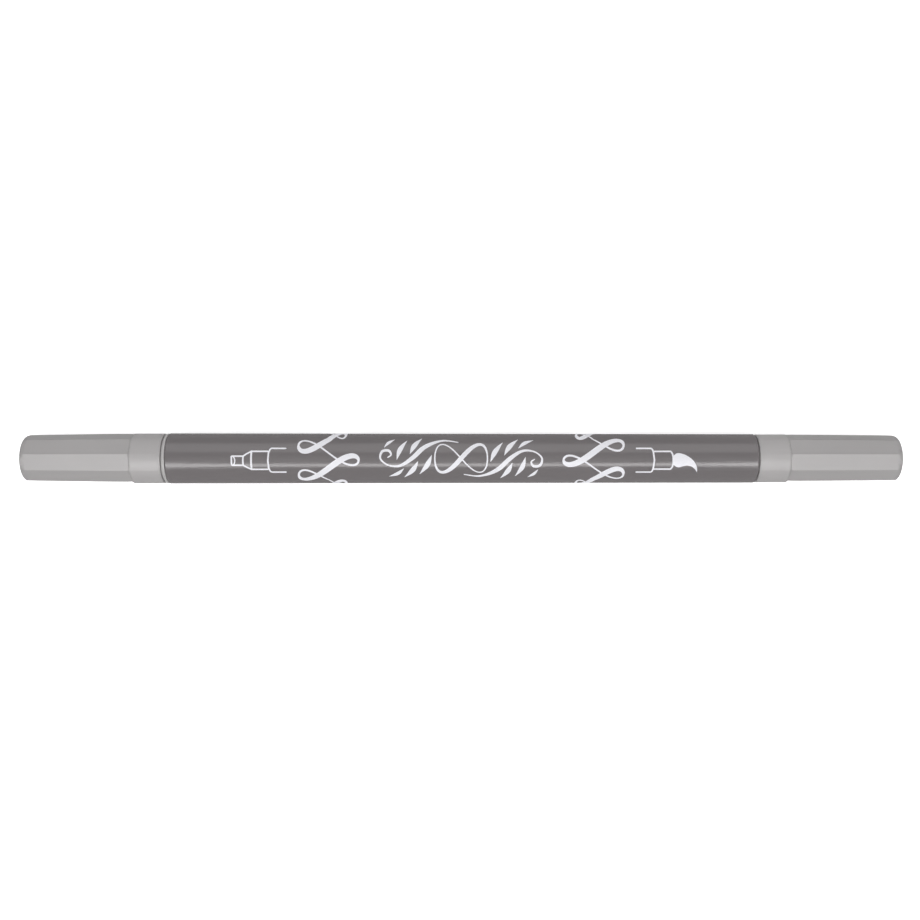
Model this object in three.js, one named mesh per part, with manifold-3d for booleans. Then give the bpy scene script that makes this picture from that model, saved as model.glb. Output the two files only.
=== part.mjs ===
// A twin-tip calligraphy marker lying on its side, capped at both ends.
// +X runs along the pen to the brush end, -X to the calligraphy end, +Z is up.
// The origin is on the table, under the middle of the pen.
import * as THREE from "three";
import { mergeVertices } from "three/addons/utils/BufferGeometryUtils.js";
import Module from "manifold-3d";

const wasm = await Module();
wasm.setup();

// Driving dimensions, in millimetres. Radii of outer faces are to the flats of each turned piece.
const SIDES = 24;
const RUN = 0.05; // radial clearance between pieces that fit in each other
const SEAT = 0.02; // gap between two faces that rest on each other

const BARREL_RADIUS_CALLIGRAPHY = 4.86;
const BARREL_RADIUS_BRUSH = 4.7;
const BARREL_BORE = 3.95;
const MOUTH_ROUNDING = 0.3;
const TAIL_LENGTH = 11; // how far a section reaches into the barrel
const TAIL_RADIUS = BARREL_BORE - 0.07;
const TAIL_CHAMFER = 0.5;
const SEAL_RADIUS = 2.95; // the land on a section's nose that the inner cap closes on
const CHAMBER_RADIUS = 2.3; // the hollow behind each nib
const NIB_REACH = 16; // how far a nib reaches back from the barrel's mouth, into the ink core
const NOTCH_WIDTH = 1.2;
const NOTCH_DEPTH = 2.5;
const LINER_BORE = 3.5; // bore of a cap shell where it holds its liner
const LINER_BORE_START = 8;
const LINER_WALL = 0.6;
const CAP_FLATS = 9;
const COLLAR_EDGE = 0.15;
const FLATS_OVERLAP = 0.5; // how far the flats run into the round collar
const CAP_END_WALL = 1.3;
const END_ROUNDING = 1.0;
const PAST = 1; // how far a cutting shape runs past what it cuts

// Distances along an end, called u, are outwards from that end's barrel mouth.
const CALLIGRAPHY = {
  mouth: 56.385,
  flangeRadius: BARREL_RADIUS_CALLIGRAPHY - 0.06,
  flange: 0.52,
  step: 0.74,
  stepRadius: 4.45,
  seatRadius: 3.62,
  beadRadius: 3.7,
  sealStart: 5.9,
  sealEnd: 7.2,
  snoutStart: 10.6,
  noseEnd: 13.9,
  nibTip: 16.2,
  capStart: 0.8,
  capEnd: 27.89,
  collar: 6.0,
  collarRadius: 4.81,
  endRadius: 4.515,
  capBore: 3.75,
  linerFloor: 22.0,
};
const BRUSH = {
  mouth: 56.655,
  flangeRadius: 4.35,
  flange: 0.05,
  step: 0.1,
  stepRadius: 4.25,
  seatRadius: 3.74,
  beadRadius: 3.8,
  shoulder: 5.8,
  sealStart: 6.9,
  noseEnd: 8.2,
  nibTip: 17.5,
  capStart: 0.17,
  capEnd: 27.62,
  collar: 5.95,
  collarRadius: 4.64,
  endRadius: 4.457,
  capBore: 3.84,
  linerFloor: 22.9,
};
const NIB_WIDTH = 3.0;
const NIB_THICKNESS = 1.5;
const NIB_EDGE = 0.5;
const BRUSH_RADIUS = 1.7;
const CORE_RADIUS = 3.6;
const FILM_RADIUS = 3.7;
const CORE_END_GAP = 0.55; // between the ink core and a section's tail
const RIB_COUNT = 6;
const RIB_WIDTH = 0.9;
const BEAD_CENTRE = 3.2;
const BEAD_HALF = 0.35;

const DARK_GREY = 0x757172;
const PALE_GREY = 0xb4b2b1;
const LINER_WHITE = 0xe4e4e2;
const FIBRE = 0x2a2829;
const CORE_WHITE = 0xd8d6d0;
const FILM_CLEAR = 0xcfd3d6;

const toFlats = 1 / Math.cos(Math.PI / SIDES); // from a flat's distance to a corner's distance
const axisHeight = BARREL_RADIUS_CALLIGRAPHY; // the barrel's fat end touches the table

// A solid turned about X, from [distance along X, radius] points. Outer faces run towards +X.
function turned(profile) {
  const points = profile.map(([u, r]) => new THREE.Vector2(r, u));
  const geometry = new THREE.LatheGeometry(points, SIDES, Math.PI / SIDES);
  return geometry.rotateZ(-Math.PI / 2);
}

// A box from its lowest to its highest corner.
function block([x0, y0, z0], [x1, y1, z1]) {
  const geometry = new THREE.BoxGeometry(x1 - x0, y1 - y0, z1 - z0);
  return geometry.translate((x0 + x1) / 2, (y0 + y1) / 2, (z0 + z1) / 2);
}

// Points of a quarter circle from one [u, r] to another, bulging towards the corner named last.
function quarter([u0, r0], [u1, r1], [cornerU, cornerR], steps) {
  const points = [];
  const centreU = u0 + u1 - cornerU;
  const centreR = r0 + r1 - cornerR;
  for (let i = 0; i <= steps; i++) {
    const turn = (i / steps) * (Math.PI / 2);
    const u = centreU + (u0 - centreU) * Math.cos(turn) + (u1 - centreU) * Math.sin(turn);
    const r = centreR + (r0 - centreR) * Math.cos(turn) + (r1 - centreR) * Math.sin(turn);
    points.push([u, r]);
  }
  return points;
}

function solid(geometry) {
  const bare = geometry.clone();
  bare.deleteAttribute("normal");
  bare.deleteAttribute("uv");
  const merged = mergeVertices(bare, 1e-4);
  const mesh = new wasm.Mesh({
    numProp: 3,
    vertProperties: merged.attributes.position.array,
    triVerts: new Uint32Array(merged.index.array),
  });
  return new wasm.Manifold(mesh);
}

function geometryOf(made) {
  const mesh = made.getMesh();
  const geometry = new THREE.BufferGeometry();
  geometry.setAttribute("position", new THREE.BufferAttribute(mesh.vertProperties, 3));
  geometry.setIndex(new THREE.BufferAttribute(mesh.triVerts, 1));
  geometry.computeVertexNormals();
  return geometry;
}

function piece(name, geometry, color, roughness) {
  const material = new THREE.MeshStandardMaterial({ color, roughness, metalness: 0 });
  const mesh = new THREE.Mesh(geometry, material);
  mesh.name = name;
  return mesh;
}

// The moulded tube: drafted outside, straight bore, rounded mouths, and ribs that centre the ink core.
function barrel() {
  const left = -CALLIGRAPHY.mouth;
  const right = BRUSH.mouth;
  const fat = BARREL_RADIUS_CALLIGRAPHY * toFlats;
  const slim = BARREL_RADIUS_BRUSH * toFlats;
  const round = MOUTH_ROUNDING;
  const profile = [
    [left + round, BARREL_BORE],
    [left, BARREL_BORE + round],
    ...quarter([left, fat - round], [left + round, fat], [left, fat], 3),
    ...quarter([right - round, slim], [right, slim - round], [right, slim], 3),
    [right, BARREL_BORE + round],
    [right - round, BARREL_BORE],
    [left + round, BARREL_BORE],
  ];
  let tube = solid(turned(profile));
  const ribLow = [left + TAIL_LENGTH + 1, -RIB_WIDTH / 2, FILM_RADIUS + 0.04];
  const ribHigh = [right - TAIL_LENGTH - 1, RIB_WIDTH / 2, BARREL_BORE + 0.2];
  for (let i = 0; i < RIB_COUNT; i++) {
    const rib = block(ribLow, ribHigh).rotateX((i * 2 * Math.PI) / RIB_COUNT);
    tube = tube.add(solid(rib));
  }
  return piece("barrel", geometryOf(tube), DARK_GREY, 0.4);
}

// The outer face of a section from its tail to the end of the seat that the cap slides onto.
function sectionBack(end, seatEnd) {
  const flangeRadius = end.flangeRadius * toFlats;
  return [
    [-TAIL_LENGTH, TAIL_RADIUS - TAIL_CHAMFER],
    [TAIL_CHAMFER - TAIL_LENGTH, TAIL_RADIUS],
    [SEAT, TAIL_RADIUS],
    [SEAT, flangeRadius],
    [end.flange, flangeRadius],
    [end.flange, end.stepRadius],
    [end.step, end.stepRadius],
    [end.step, end.seatRadius],
    [BEAD_CENTRE - 2 * BEAD_HALF, end.seatRadius],
    [BEAD_CENTRE - BEAD_HALF, end.beadRadius],
    [BEAD_CENTRE + BEAD_HALF, end.beadRadius],
    [BEAD_CENTRE + 2 * BEAD_HALF, end.seatRadius],
    [seatEnd, end.seatRadius],
  ];
}

// Two notches across a section's tail let air past the ink core.
function withAirNotches(made) {
  const low = [-TAIL_LENGTH - PAST, -NOTCH_WIDTH / 2, -TAIL_RADIUS - PAST];
  const high = [NOTCH_DEPTH - TAIL_LENGTH, NOTCH_WIDTH / 2, TAIL_RADIUS + PAST];
  const notch = block(low, high);
  return made.subtract(solid(notch));
}

// The plug behind the calligraphy nib: seat, seal land, cone and narrow snout with a flat slot.
function sectionCalligraphy() {
  const end = CALLIGRAPHY;
  const chamberEnd = 9;
  const profile = [
    [chamberEnd, 0],
    [chamberEnd - 1, CHAMBER_RADIUS - 0.4],
    [chamberEnd - 3, CHAMBER_RADIUS],
    [-TAIL_LENGTH, CHAMBER_RADIUS],
    ...sectionBack(end, end.sealStart - 0.3),
    [end.sealStart, SEAL_RADIUS],
    [end.sealEnd, SEAL_RADIUS],
    [end.snoutStart, 2.05],
    [end.noseEnd - 0.2, 1.98],
    [end.noseEnd, 1.8],
    [end.noseEnd, 0],
  ];
  const y = NIB_WIDTH / 2 + RUN;
  const z = NIB_THICKNESS / 2 + RUN;
  const slot = block([chamberEnd - 2, -y, -z], [end.noseEnd + PAST, y, z]);
  const made = withAirNotches(solid(turned(profile)).subtract(solid(slot)));
  return piece("section_calligraphy", geometryOf(made), PALE_GREY, 0.45);
}

// The plug behind the brush nib: seat, rounded shoulder and a short nose with a round bore.
function sectionBrush() {
  const end = BRUSH;
  const bore = BRUSH_RADIUS + RUN;
  const chamberEnd = 3;
  const shoulderStart = [end.shoulder, end.seatRadius];
  const shoulderEnd = [end.sealStart, SEAL_RADIUS];
  const profile = [
    [end.noseEnd, bore],
    [chamberEnd, bore],
    [chamberEnd - 0.6, CHAMBER_RADIUS],
    [-TAIL_LENGTH, CHAMBER_RADIUS],
    ...sectionBack(end, end.shoulder),
    ...quarter(shoulderStart, shoulderEnd, [end.sealStart, end.seatRadius], 3).slice(1),
    [end.noseEnd - 0.3, SEAL_RADIUS],
    [end.noseEnd, SEAL_RADIUS - 0.3],
    [end.noseEnd, bore],
  ];
  const made = withAirNotches(solid(turned(profile)));
  return piece("section_brush", geometryOf(made), PALE_GREY, 0.45);
}

// A flat strip of pressed fibre, ground to a wedge with a straight-cut edge.
function calligraphyNib() {
  const tip = CALLIGRAPHY.nibTip;
  const wedge = CALLIGRAPHY.noseEnd - 0.1;
  const half = NIB_THICKNESS / 2;
  const edge = NIB_EDGE / 2;
  const side = new THREE.Shape();
  side.moveTo(-NIB_REACH, -half);
  side.lineTo(wedge, -half);
  side.lineTo(tip - 0.1, -edge);
  side.lineTo(tip, 0.1 - edge);
  side.lineTo(tip, edge - 0.1);
  side.lineTo(tip - 0.1, edge);
  side.lineTo(wedge, half);
  side.lineTo(-NIB_REACH, half);
  const geometry = new THREE.ExtrudeGeometry(side, { depth: NIB_WIDTH, bevelEnabled: false });
  geometry.rotateX(Math.PI / 2).translate(0, NIB_WIDTH / 2, 0);
  return piece("calligraphy_nib", geometryOf(solid(geometry)), FIBRE, 0.8);
}

// A round stem that swells slightly out of the section and runs to a point.
function brushNib() {
  const start = BRUSH.noseEnd;
  const length = BRUSH.nibTip - start;
  const profile = [
    [-NIB_REACH, 0],
    [-NIB_REACH, BRUSH_RADIUS - 0.3],
    [0.3 - NIB_REACH, BRUSH_RADIUS],
    [start, BRUSH_RADIUS],
  ];
  const steps = 8;
  for (let i = 1; i < steps; i++) {
    const t = i / steps;
    const radius = BRUSH_RADIUS * (1 - Math.pow(t, 1.9)) ** 0.95;
    profile.push([start + t * length, radius]);
  }
  profile.push([BRUSH.nibTip, 0]);
  return piece("brush_nib", geometryOf(solid(turned(profile))), FIBRE, 0.8);
}

// The fibre core that holds the ink, with the hollow that each nib's tail presses into it.
function inkReservoir() {
  const left = TAIL_LENGTH + CORE_END_GAP - CALLIGRAPHY.mouth;
  const right = BRUSH.mouth - TAIL_LENGTH - CORE_END_GAP;
  const core = solid(turned([[left, 0], [left, CORE_RADIUS], [right, CORE_RADIUS], [right, 0]]));
  const y = NIB_WIDTH / 2 + 0.1;
  const z = NIB_THICKNESS / 2 + 0.1;
  const slotEnd = NIB_REACH + 0.15 - CALLIGRAPHY.mouth;
  const slot = solid(block([left - PAST, -y, -z], [slotEnd, y, z]));
  const holeEnd = BRUSH.mouth - NIB_REACH - 0.15;
  const radius = BRUSH_RADIUS + 0.1;
  const past = right + PAST;
  const hole = solid(turned([[holeEnd, 0], [holeEnd, radius], [past, radius], [past, 0]]));
  return piece("ink_reservoir", geometryOf(core.subtract(slot).subtract(hole)), CORE_WHITE, 0.95);
}

// The thin sleeve round the ink core.
function reservoirFilm() {
  const left = TAIL_LENGTH + CORE_END_GAP - CALLIGRAPHY.mouth;
  const right = BRUSH.mouth - TAIL_LENGTH - CORE_END_GAP;
  const inside = CORE_RADIUS + 0.02;
  const profile = [
    [left, inside],
    [left, FILM_RADIUS],
    [right, FILM_RADIUS],
    [right, inside],
    [left, inside],
  ];
  return piece("reservoir_film", turned(profile), FILM_CLEAR, 0.3);
}

// A cap's outside: a round collar, then nine tapering flats, closed by a slightly domed end.
function capOutside(end, firstCorner) {
  const shoulder = end.capStart + end.collar;
  const collarRadius = end.collarRadius * toFlats;
  const collar = turned([
    [end.capStart, 0],
    [end.capStart, collarRadius - COLLAR_EDGE],
    [end.capStart + COLLAR_EDGE, collarRadius],
    [shoulder, collarRadius],
    [shoulder, 0],
  ]);
  const fromShoulder = end.capEnd - shoulder;
  const length = fromShoulder + FLATS_OVERLAP;
  const radiusAtShoulder = end.collarRadius - 0.02;
  const draft = (radiusAtShoulder - end.endRadius) / fromShoulder;
  const startRadius = radiusAtShoulder + draft * FLATS_OVERLAP;
  const turn = firstCorner - Math.PI / 2;
  const flats = new THREE.CylinderGeometry(end.endRadius, startRadius, length, CAP_FLATS, 1, false, turn);
  flats.rotateZ(-Math.PI / 2).translate(end.capEnd - length / 2, 0, 0);
  const rounded = turned(roundedEnd(shoulder - PAST, end.capEnd, end.endRadius));
  return solid(collar).add(solid(flats).intersect(solid(rounded)));
}

// The profile of a wide blank with a rounded edge at its end.
function roundedEnd(start, stop, radius) {
  const wide = radius + 1.5;
  const edgeStart = stop - END_ROUNDING;
  const flatRadius = radius - END_ROUNDING;
  const points = [[start, 0], [start, wide], [edgeStart - 1.5, wide]];
  points.push(...quarter([edgeStart, radius], [stop, flatRadius], [stop, radius], 6));
  points.push([stop, 0]);
  return points;
}

// The hollow of a cap shell: lead-in, snap groove, seat bore, then the narrower bore for the liner.
function capHollow(end) {
  const start = end.capStart;
  const bore = end.capBore;
  const floor = end.capEnd - CAP_END_WALL;
  return turned([
    [start - PAST, 0],
    [start - PAST, bore + PAST + 0.2],
    [start + 0.2, bore],
    [BEAD_CENTRE - 2 * BEAD_HALF, bore],
    [BEAD_CENTRE - BEAD_HALF, bore + 0.08],
    [BEAD_CENTRE + BEAD_HALF, bore + 0.08],
    [BEAD_CENTRE + 2 * BEAD_HALF, bore],
    [LINER_BORE_START - 0.4, bore],
    [LINER_BORE_START, LINER_BORE],
    [floor - 0.5, LINER_BORE],
    [floor, LINER_BORE - 0.5],
    [floor, 0],
  ]);
}

function capShell(name, end, firstCorner) {
  const made = capOutside(end, firstCorner).subtract(solid(capHollow(end)));
  return piece(name, geometryOf(made), PALE_GREY, 0.4);
}

// The soft cup inside a cap that closes on the seal land and keeps the nib from drying.
function capLiner(name, end) {
  const start = end.sealStart + 0.25;
  const floor = end.linerFloor;
  const back = floor + LINER_WALL;
  const inside = SEAL_RADIUS + RUN;
  const outside = LINER_BORE - RUN;
  const profile = [
    [floor, 0],
    [floor, inside - 0.4],
    [floor - 0.4, inside],
    [start + 0.2, inside],
    [start, inside + 0.15],
    [start, outside - 0.1],
    [start + 0.1, outside],
    [back - 0.5, outside],
    [back, outside - 0.5],
    [back, 0],
  ];
  return piece(name, turned(profile), LINER_WHITE, 0.5);
}

// Both caps have a corner facing +Y. The calligraphy end is the brush end turned half round about Z.
const calligraphyEnd = new THREE.Group();
calligraphyEnd.position.x = -CALLIGRAPHY.mouth;
calligraphyEnd.rotation.z = Math.PI;
calligraphyEnd.add(
  sectionCalligraphy(),
  calligraphyNib(),
  capShell("cap_calligraphy_shell", CALLIGRAPHY, Math.PI),
  capLiner("cap_calligraphy_liner", CALLIGRAPHY),
);

const brushEnd = new THREE.Group();
brushEnd.position.x = BRUSH.mouth;
brushEnd.add(
  sectionBrush(),
  brushNib(),
  capShell("cap_brush_shell", BRUSH, 0),
  capLiner("cap_brush_liner", BRUSH),
);

const marker = new THREE.Group();
marker.position.z = axisHeight;
marker.add(barrel(), inkReservoir(), reservoirFilm(), calligraphyEnd, brushEnd);

const part = new THREE.Group();
part.add(marker);
export default part;
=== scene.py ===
"""A capped twin-tip calligraphy marker, lying on a pale table and seen from straight above."""

import math

import bmesh
import bpy
from mathutils import Matrix, Vector


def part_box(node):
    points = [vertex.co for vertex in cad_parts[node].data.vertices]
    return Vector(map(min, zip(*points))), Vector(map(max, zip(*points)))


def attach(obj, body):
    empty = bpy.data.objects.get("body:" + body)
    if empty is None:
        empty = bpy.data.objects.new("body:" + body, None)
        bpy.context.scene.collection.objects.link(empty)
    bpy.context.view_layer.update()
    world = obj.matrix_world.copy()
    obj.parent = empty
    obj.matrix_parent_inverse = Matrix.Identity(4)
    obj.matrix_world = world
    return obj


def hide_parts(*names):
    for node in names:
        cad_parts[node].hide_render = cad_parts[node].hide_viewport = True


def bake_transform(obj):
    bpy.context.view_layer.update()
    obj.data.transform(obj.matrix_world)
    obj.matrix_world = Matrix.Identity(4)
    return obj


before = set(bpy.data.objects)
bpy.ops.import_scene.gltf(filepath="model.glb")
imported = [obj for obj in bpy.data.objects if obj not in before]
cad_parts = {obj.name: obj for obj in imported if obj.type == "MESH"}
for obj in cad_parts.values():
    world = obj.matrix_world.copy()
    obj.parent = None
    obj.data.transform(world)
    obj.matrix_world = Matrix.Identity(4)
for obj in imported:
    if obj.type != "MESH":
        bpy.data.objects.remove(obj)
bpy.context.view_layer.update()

# Lengths are in millimetres until a mesh, a light or the camera is made. Points are [x, y, z] from
# the middle of the pen's axis: x along the pen to the brush end, z up.
MM = 0.001
barrel_low, barrel_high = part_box("barrel")
LEFT_MOUTH = barrel_low.x / MM
RIGHT_MOUTH = barrel_high.x / MM
AXIS_HEIGHT = (barrel_low.z + barrel_high.z) / 2 / MM

ROUND = 128  # points round a turned piece
POLE = 0.001  # a smaller ring is drawn as one point on the axis
RUN = 0.05  # clearance between pieces that fit in each other
SHARP = 38  # angle in degrees above which an edge is shaded sharp
EDGE_MARK_START = 7.5  # angle in degrees at which a convex edge starts to be marked, for wear and for the caps' painted edge shade
EDGE_MARK_RANGE = 5  # how many degrees further it is fully marked
WELD = 0.002  # vertices closer than this are joined after a cut
SLIVER = 0.001  # shorter edges are dissolved after a cut

# The barrel and its ink core.
BARREL_BORE = 3.95
BARREL_POINTS = 120  # points round the barrel, a whole number of them for each rib
MOUTH_ROUNDING = 0.3
MOUTH_DEPTH = 2  # how far inside each mouth the rounded profile reaches
RADIUS_LEFT = 4.86
RADIUS_RIGHT = 4.70
RIBS = 6
RIB_FOOT = 3.74
RIB_HALF = 2  # points on each side of a rib's middle
RIB_SETBACK = 12  # from each mouth to the ribs
RIB_SLOPE = 0.2  # length of the slope at each end of a rib
CORE_RADIUS = 3.6
CORE_STOP = -1  # u of a place outside the core, where the cutters of its hollows stop
FILM_GAP = 0.02  # between the core and its film
FILM_RADIUS = 3.7

# The sections and the nibs.
SECTION_TAIL = -11  # u of a section's end inside the barrel
AIR_NOTCH = (-12, -8.5, 0.6, 5)  # the air channel in a section's tail, as block() takes it
FLANGE_GAP = 0.02  # between the barrel's mouth and a section's flange
TAIL_RADIUS = 3.88
SEAL_RADIUS = 2.95
CHAMBER_RADIUS = 2.3
BEAD_CENTRE = 3.2
BEAD_HALF = 0.35
NIB_WIDTH = 3.0
NIB_THICKNESS = 1.5
NIB_EDGE = 0.5
NIB_SOFTENING = 0.09
NIB_ROOM = 0.1  # clearance round a nib's tail in the core
NIB_GAP = 0.15  # clearance behind it
BRUSH_RADIUS = 1.7
BRUSH_BLEND = 4.0  # a length past the brush's root; the place it gives is worked out, but nothing bends the brush
BRUSH_STEPS = 56  # rings from the brush's root to its point
GROOVE_DEPTH = 0.022

# The caps.
FLATS = 9
FIRST_FLAT = math.pi / FLATS  # direction of the first flat, from +Y towards +Z
FLAT_POINTS = 6
CORNER_POINTS = 5
CORNER_ROUNDING = 0.22
SHOULDER_ROUNDING = 0.09
COLLAR_SINK = 0.02  # how far the corners stand below the collar
COLLAR_FADE = 0.4  # the collar's last stretch, over which its painted brightening fades out
PAINTED_LIGHT_MARGIN = 0.3  # the part of it that is left unmarked
TAPER = 1.5  # exponent of the flats' taper: above 1, they fall faster towards the end
END_ROUNDING = 1.0
END_WALL = 1.3
BEAD_GROOVE = 0.08  # depth of the groove that the snap bead sits in
LINER_STEP = (7.6, 8.0)  # u over which the cap's bore narrows to hold the liner
LINER_RADIUS = 3.45
LINER_WALL = 0.6


class End:
    """One end of the pen. u is the distance outwards from the barrel's mouth.

    Sizes of the section: flange and step are the u at which each stops, and seat and bead the radii
    of what the cap grips. The narrower part that the liner seals goes from seal_start to seal_end,
    or to the nose where there is no seal_end. Sizes of the cap: collar is the collar's length,
    end_radius the radius over the corners at the far end, and bore the radius inside.
    """

    def __init__(self, name, side, mouth, **sizes):
        self.name = name
        self.side = side
        self.mouth = mouth
        for key, value in sizes.items():
            setattr(self, key, value)

    def x(self, u):
        """The pen's x at u."""
        return self.mouth + self.side * u

    def reach(self, node):
        """The lowest and highest u of a CAD node."""
        low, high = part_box(node)
        return sorted(self.side * (value / MM - self.mouth) for value in (low.x, high.x))


CALLIGRAPHY = End(
    "calligraphy", -1, LEFT_MOUTH,
    flange=0.52, flange_radius=4.8, step=0.74, step_radius=4.45,
    seat=3.62, bead=3.7, seal_start=5.9, seal_end=7.2,
    collar=6.0, collar_radius=4.81, end_radius=4.515, bore=3.75,
)
BRUSH = End(
    "brush", 1, RIGHT_MOUTH,
    flange=0.05, flange_radius=4.35, step=0.1, step_radius=4.25,
    seat=3.74, bead=3.8, seal_start=6.9,
    collar=5.95, collar_radius=4.64, end_radius=4.457, bore=3.84,
)


# ---------------------------------------------------------------- materials


class Graph:
    """A material's nodes, with object coordinates in millimetres."""

    def __init__(self, name):
        self.material = bpy.data.materials.new(name)
        self.material.use_nodes = True
        self.tree = self.material.node_tree
        self.shader = self.tree.nodes["Principled BSDF"]
        self.place = self.node("ShaderNodeTexCoord").outputs["Object"]

    def node(self, kind, links=(), **settings):
        made = self.tree.nodes.new(kind)
        for key, value in settings.items():
            setattr(made, key, value)
        for socket, value in dict(links).items():
            self.feed(made.inputs[socket], value)
        return made

    def feed(self, socket, value):
        if isinstance(value, bpy.types.NodeSocket):
            self.tree.links.new(value, socket)
        else:
            socket.default_value = value

    def noise(self, scale, stretch=(1, 1, 1), detail=3, roughness=0.55):
        """Noise with features about 1 / scale millimetres across, stretched along each axis."""
        size = [scale / MM / part for part in stretch]
        mapped = self.node("ShaderNodeMapping", {"Vector": self.place, "Scale": size})
        made = self.node(
            "ShaderNodeTexNoise",
            {"Vector": mapped.outputs[0], "Scale": 1, "Detail": detail, "Roughness": roughness},
        )
        return made.outputs["Fac"]

    def spread(self, value, low, high, to_low, to_high):
        """The value, with low to high spread over to_low to to_high and held there beyond them."""
        made = self.node(
            "ShaderNodeMapRange",
            {"Value": value, "From Min": low, "From Max": high, "To Min": to_low, "To Max": to_high},
        )
        return made.outputs[0]

    def times(self, a, b):
        return self.node("ShaderNodeMath", {0: a, 1: b}, operation="MULTIPLY").outputs[0]

    def plus(self, a, b):
        return self.node("ShaderNodeMath", {0: a, 1: b}, operation="ADD").outputs[0]

    def mix(self, factor, a, b):
        made = self.node("ShaderNodeMix", data_type="RGBA")
        self.feed(made.inputs["Factor"], factor)
        self.feed(made.inputs["A"], a if isinstance(a, bpy.types.NodeSocket) else (*a, 1))
        self.feed(made.inputs["B"], b if isinstance(b, bpy.types.NodeSocket) else (*b, 1))
        return made.outputs["Result"]

    def bump(self, height, depth, below=None):
        """Bump from a height of 0 to 1, depth millimetres deep, over another bump."""
        links = {"Height": height, "Distance": depth * MM, "Strength": 1}
        if below is not None:
            links["Normal"] = below
        return self.node("ShaderNodeBump", links).outputs[0]


def shade(colour, factor):
    """A colour made factor times as bright."""
    return tuple(min(1, part * factor) for part in colour)


def plastic(
    name, colour, roughness, grain, scratches, specular=0.5, edge_wear_and_shade=1.25, subsurface=0.0, painted_collar_light=1.0,
):
    """Moulded plastic: cloudy colour, fine grain, lengthwise scratches, and convex edges rubbed paler,
    except on the caps, where they are darkened as painted shade.

    grain and scratches are depths. The edge factor is how bright a convex edge is beside the rest:
    above 1 it is rubbed paler, and below 1, as on the caps, it is painted shade. The collar factor is
    how much brighter the places are where the collar mark is 1, a painted brightening of the collar.
    """
    graph = Graph(name)
    clouds = graph.spread(graph.noise(0.11, (3, 1, 1)), 0.3, 0.7, 0, 1)
    base = graph.mix(clouds, shade(colour, 0.965), shade(colour, 1.035))
    specks = graph.noise(2.4, detail=6, roughness=0.7)
    streaks = graph.spread(graph.noise(5, (60, 1, 1), detail=2), 0.62, 0.72, 0, 1)
    edge = graph.node("ShaderNodeAttribute", attribute_name="wear_and_shade_mask").outputs["Fac"]
    patches = graph.spread(graph.noise(1.6, (2, 1, 1), detail=4), 0.38, 0.62, 0.25, 1)
    wear_and_shade_mask = graph.times(edge, patches)
    # Convex edges take another shade: rubbed paler where worn, and on the caps darker, as painted shade
    # at their rims and corners.
    base = graph.mix(graph.times(wear_and_shade_mask, 0.6), base, shade(colour, edge_wear_and_shade))
    # The collar is painted paler here, a painted brightening that stands in for the light on it.
    if painted_collar_light != 1:
        here = graph.node("ShaderNodeAttribute", attribute_name="painted_collar_light").outputs["Fac"]
        paler = graph.spread(here, 0, 1, 1, painted_collar_light)
        scaled = graph.node("ShaderNodeVectorMath", {0: base, "Scale": paler}, operation="SCALE")
        base = scaled.outputs[0]
    rough = graph.spread(specks, 0.3, 0.7, roughness - 0.05, roughness + 0.05)
    rough = graph.plus(rough, graph.times(streaks, 0.06))
    rough = graph.plus(rough, graph.times(wear_and_shade_mask, 0.08))
    fine = graph.bump(graph.noise(9, detail=4), grain)
    normal = graph.bump(streaks, -scratches, fine)
    graph.feed(graph.shader.inputs["Base Color"], base)
    graph.feed(graph.shader.inputs["Roughness"], rough)
    graph.feed(graph.shader.inputs["Normal"], normal)
    graph.shader.inputs["Specular IOR Level"].default_value = specular
    graph.shader.inputs["Subsurface Weight"].default_value = subsurface
    graph.shader.inputs["Subsurface Radius"].default_value = (1, 1, 1)
    graph.shader.inputs["Subsurface Scale"].default_value = 0.4 * MM
    return graph.material


def ink(name, colour):
    """Screen-printed ink: an almost even film with a faint mesh of pinholes and thin spots."""
    graph = Graph(name)
    thin = graph.spread(graph.noise(3.2, detail=5, roughness=0.7), 0.3, 0.5, 0, 1)
    base = graph.mix(thin, shade(colour, 0.93), colour)
    rough = graph.spread(graph.noise(5, detail=3), 0.3, 0.7, 0.38, 0.52)
    graph.feed(graph.shader.inputs["Base Color"], base)
    graph.feed(graph.shader.inputs["Roughness"], rough)
    graph.feed(graph.shader.inputs["Normal"], graph.bump(graph.noise(7, detail=4), 0.003))
    graph.shader.inputs["Specular IOR Level"].default_value = 0.35
    return graph.material


def fibre(name, dark, pale, strand, depth):
    """Fibres that run along the pen, each with its own shade, matted together.

    strand is roughly how many fibres there are across a millimetre, and depth is how deep they lie.
    """
    graph = Graph(name)
    strands = graph.noise(strand, (14, 1, 1), detail=5, roughness=0.65)
    matting = graph.noise(strand * 0.4, (2, 1, 1), detail=4)
    shades = graph.spread(graph.plus(strands, graph.times(matting, 0.5)), 0.55, 1.0, 0, 1)
    rough = graph.spread(strands, 0.3, 0.7, 0.72, 0.95)
    normal = graph.bump(matting, depth * 0.6, graph.bump(strands, depth))
    graph.feed(graph.shader.inputs["Base Color"], graph.mix(shades, dark, pale))
    graph.feed(graph.shader.inputs["Roughness"], rough)
    graph.feed(graph.shader.inputs["Normal"], normal)
    graph.shader.inputs["Specular IOR Level"].default_value = 0.3
    graph.shader.inputs["Sheen Weight"].default_value = 0.25
    graph.shader.inputs["Sheen Roughness"].default_value = 0.5
    return graph.material


barrel_plastic = plastic(
    "barrel_plastic", (0.169, 0.156, 0.159), roughness=0.18, grain=0.004, scratches=0.004,
)
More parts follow.
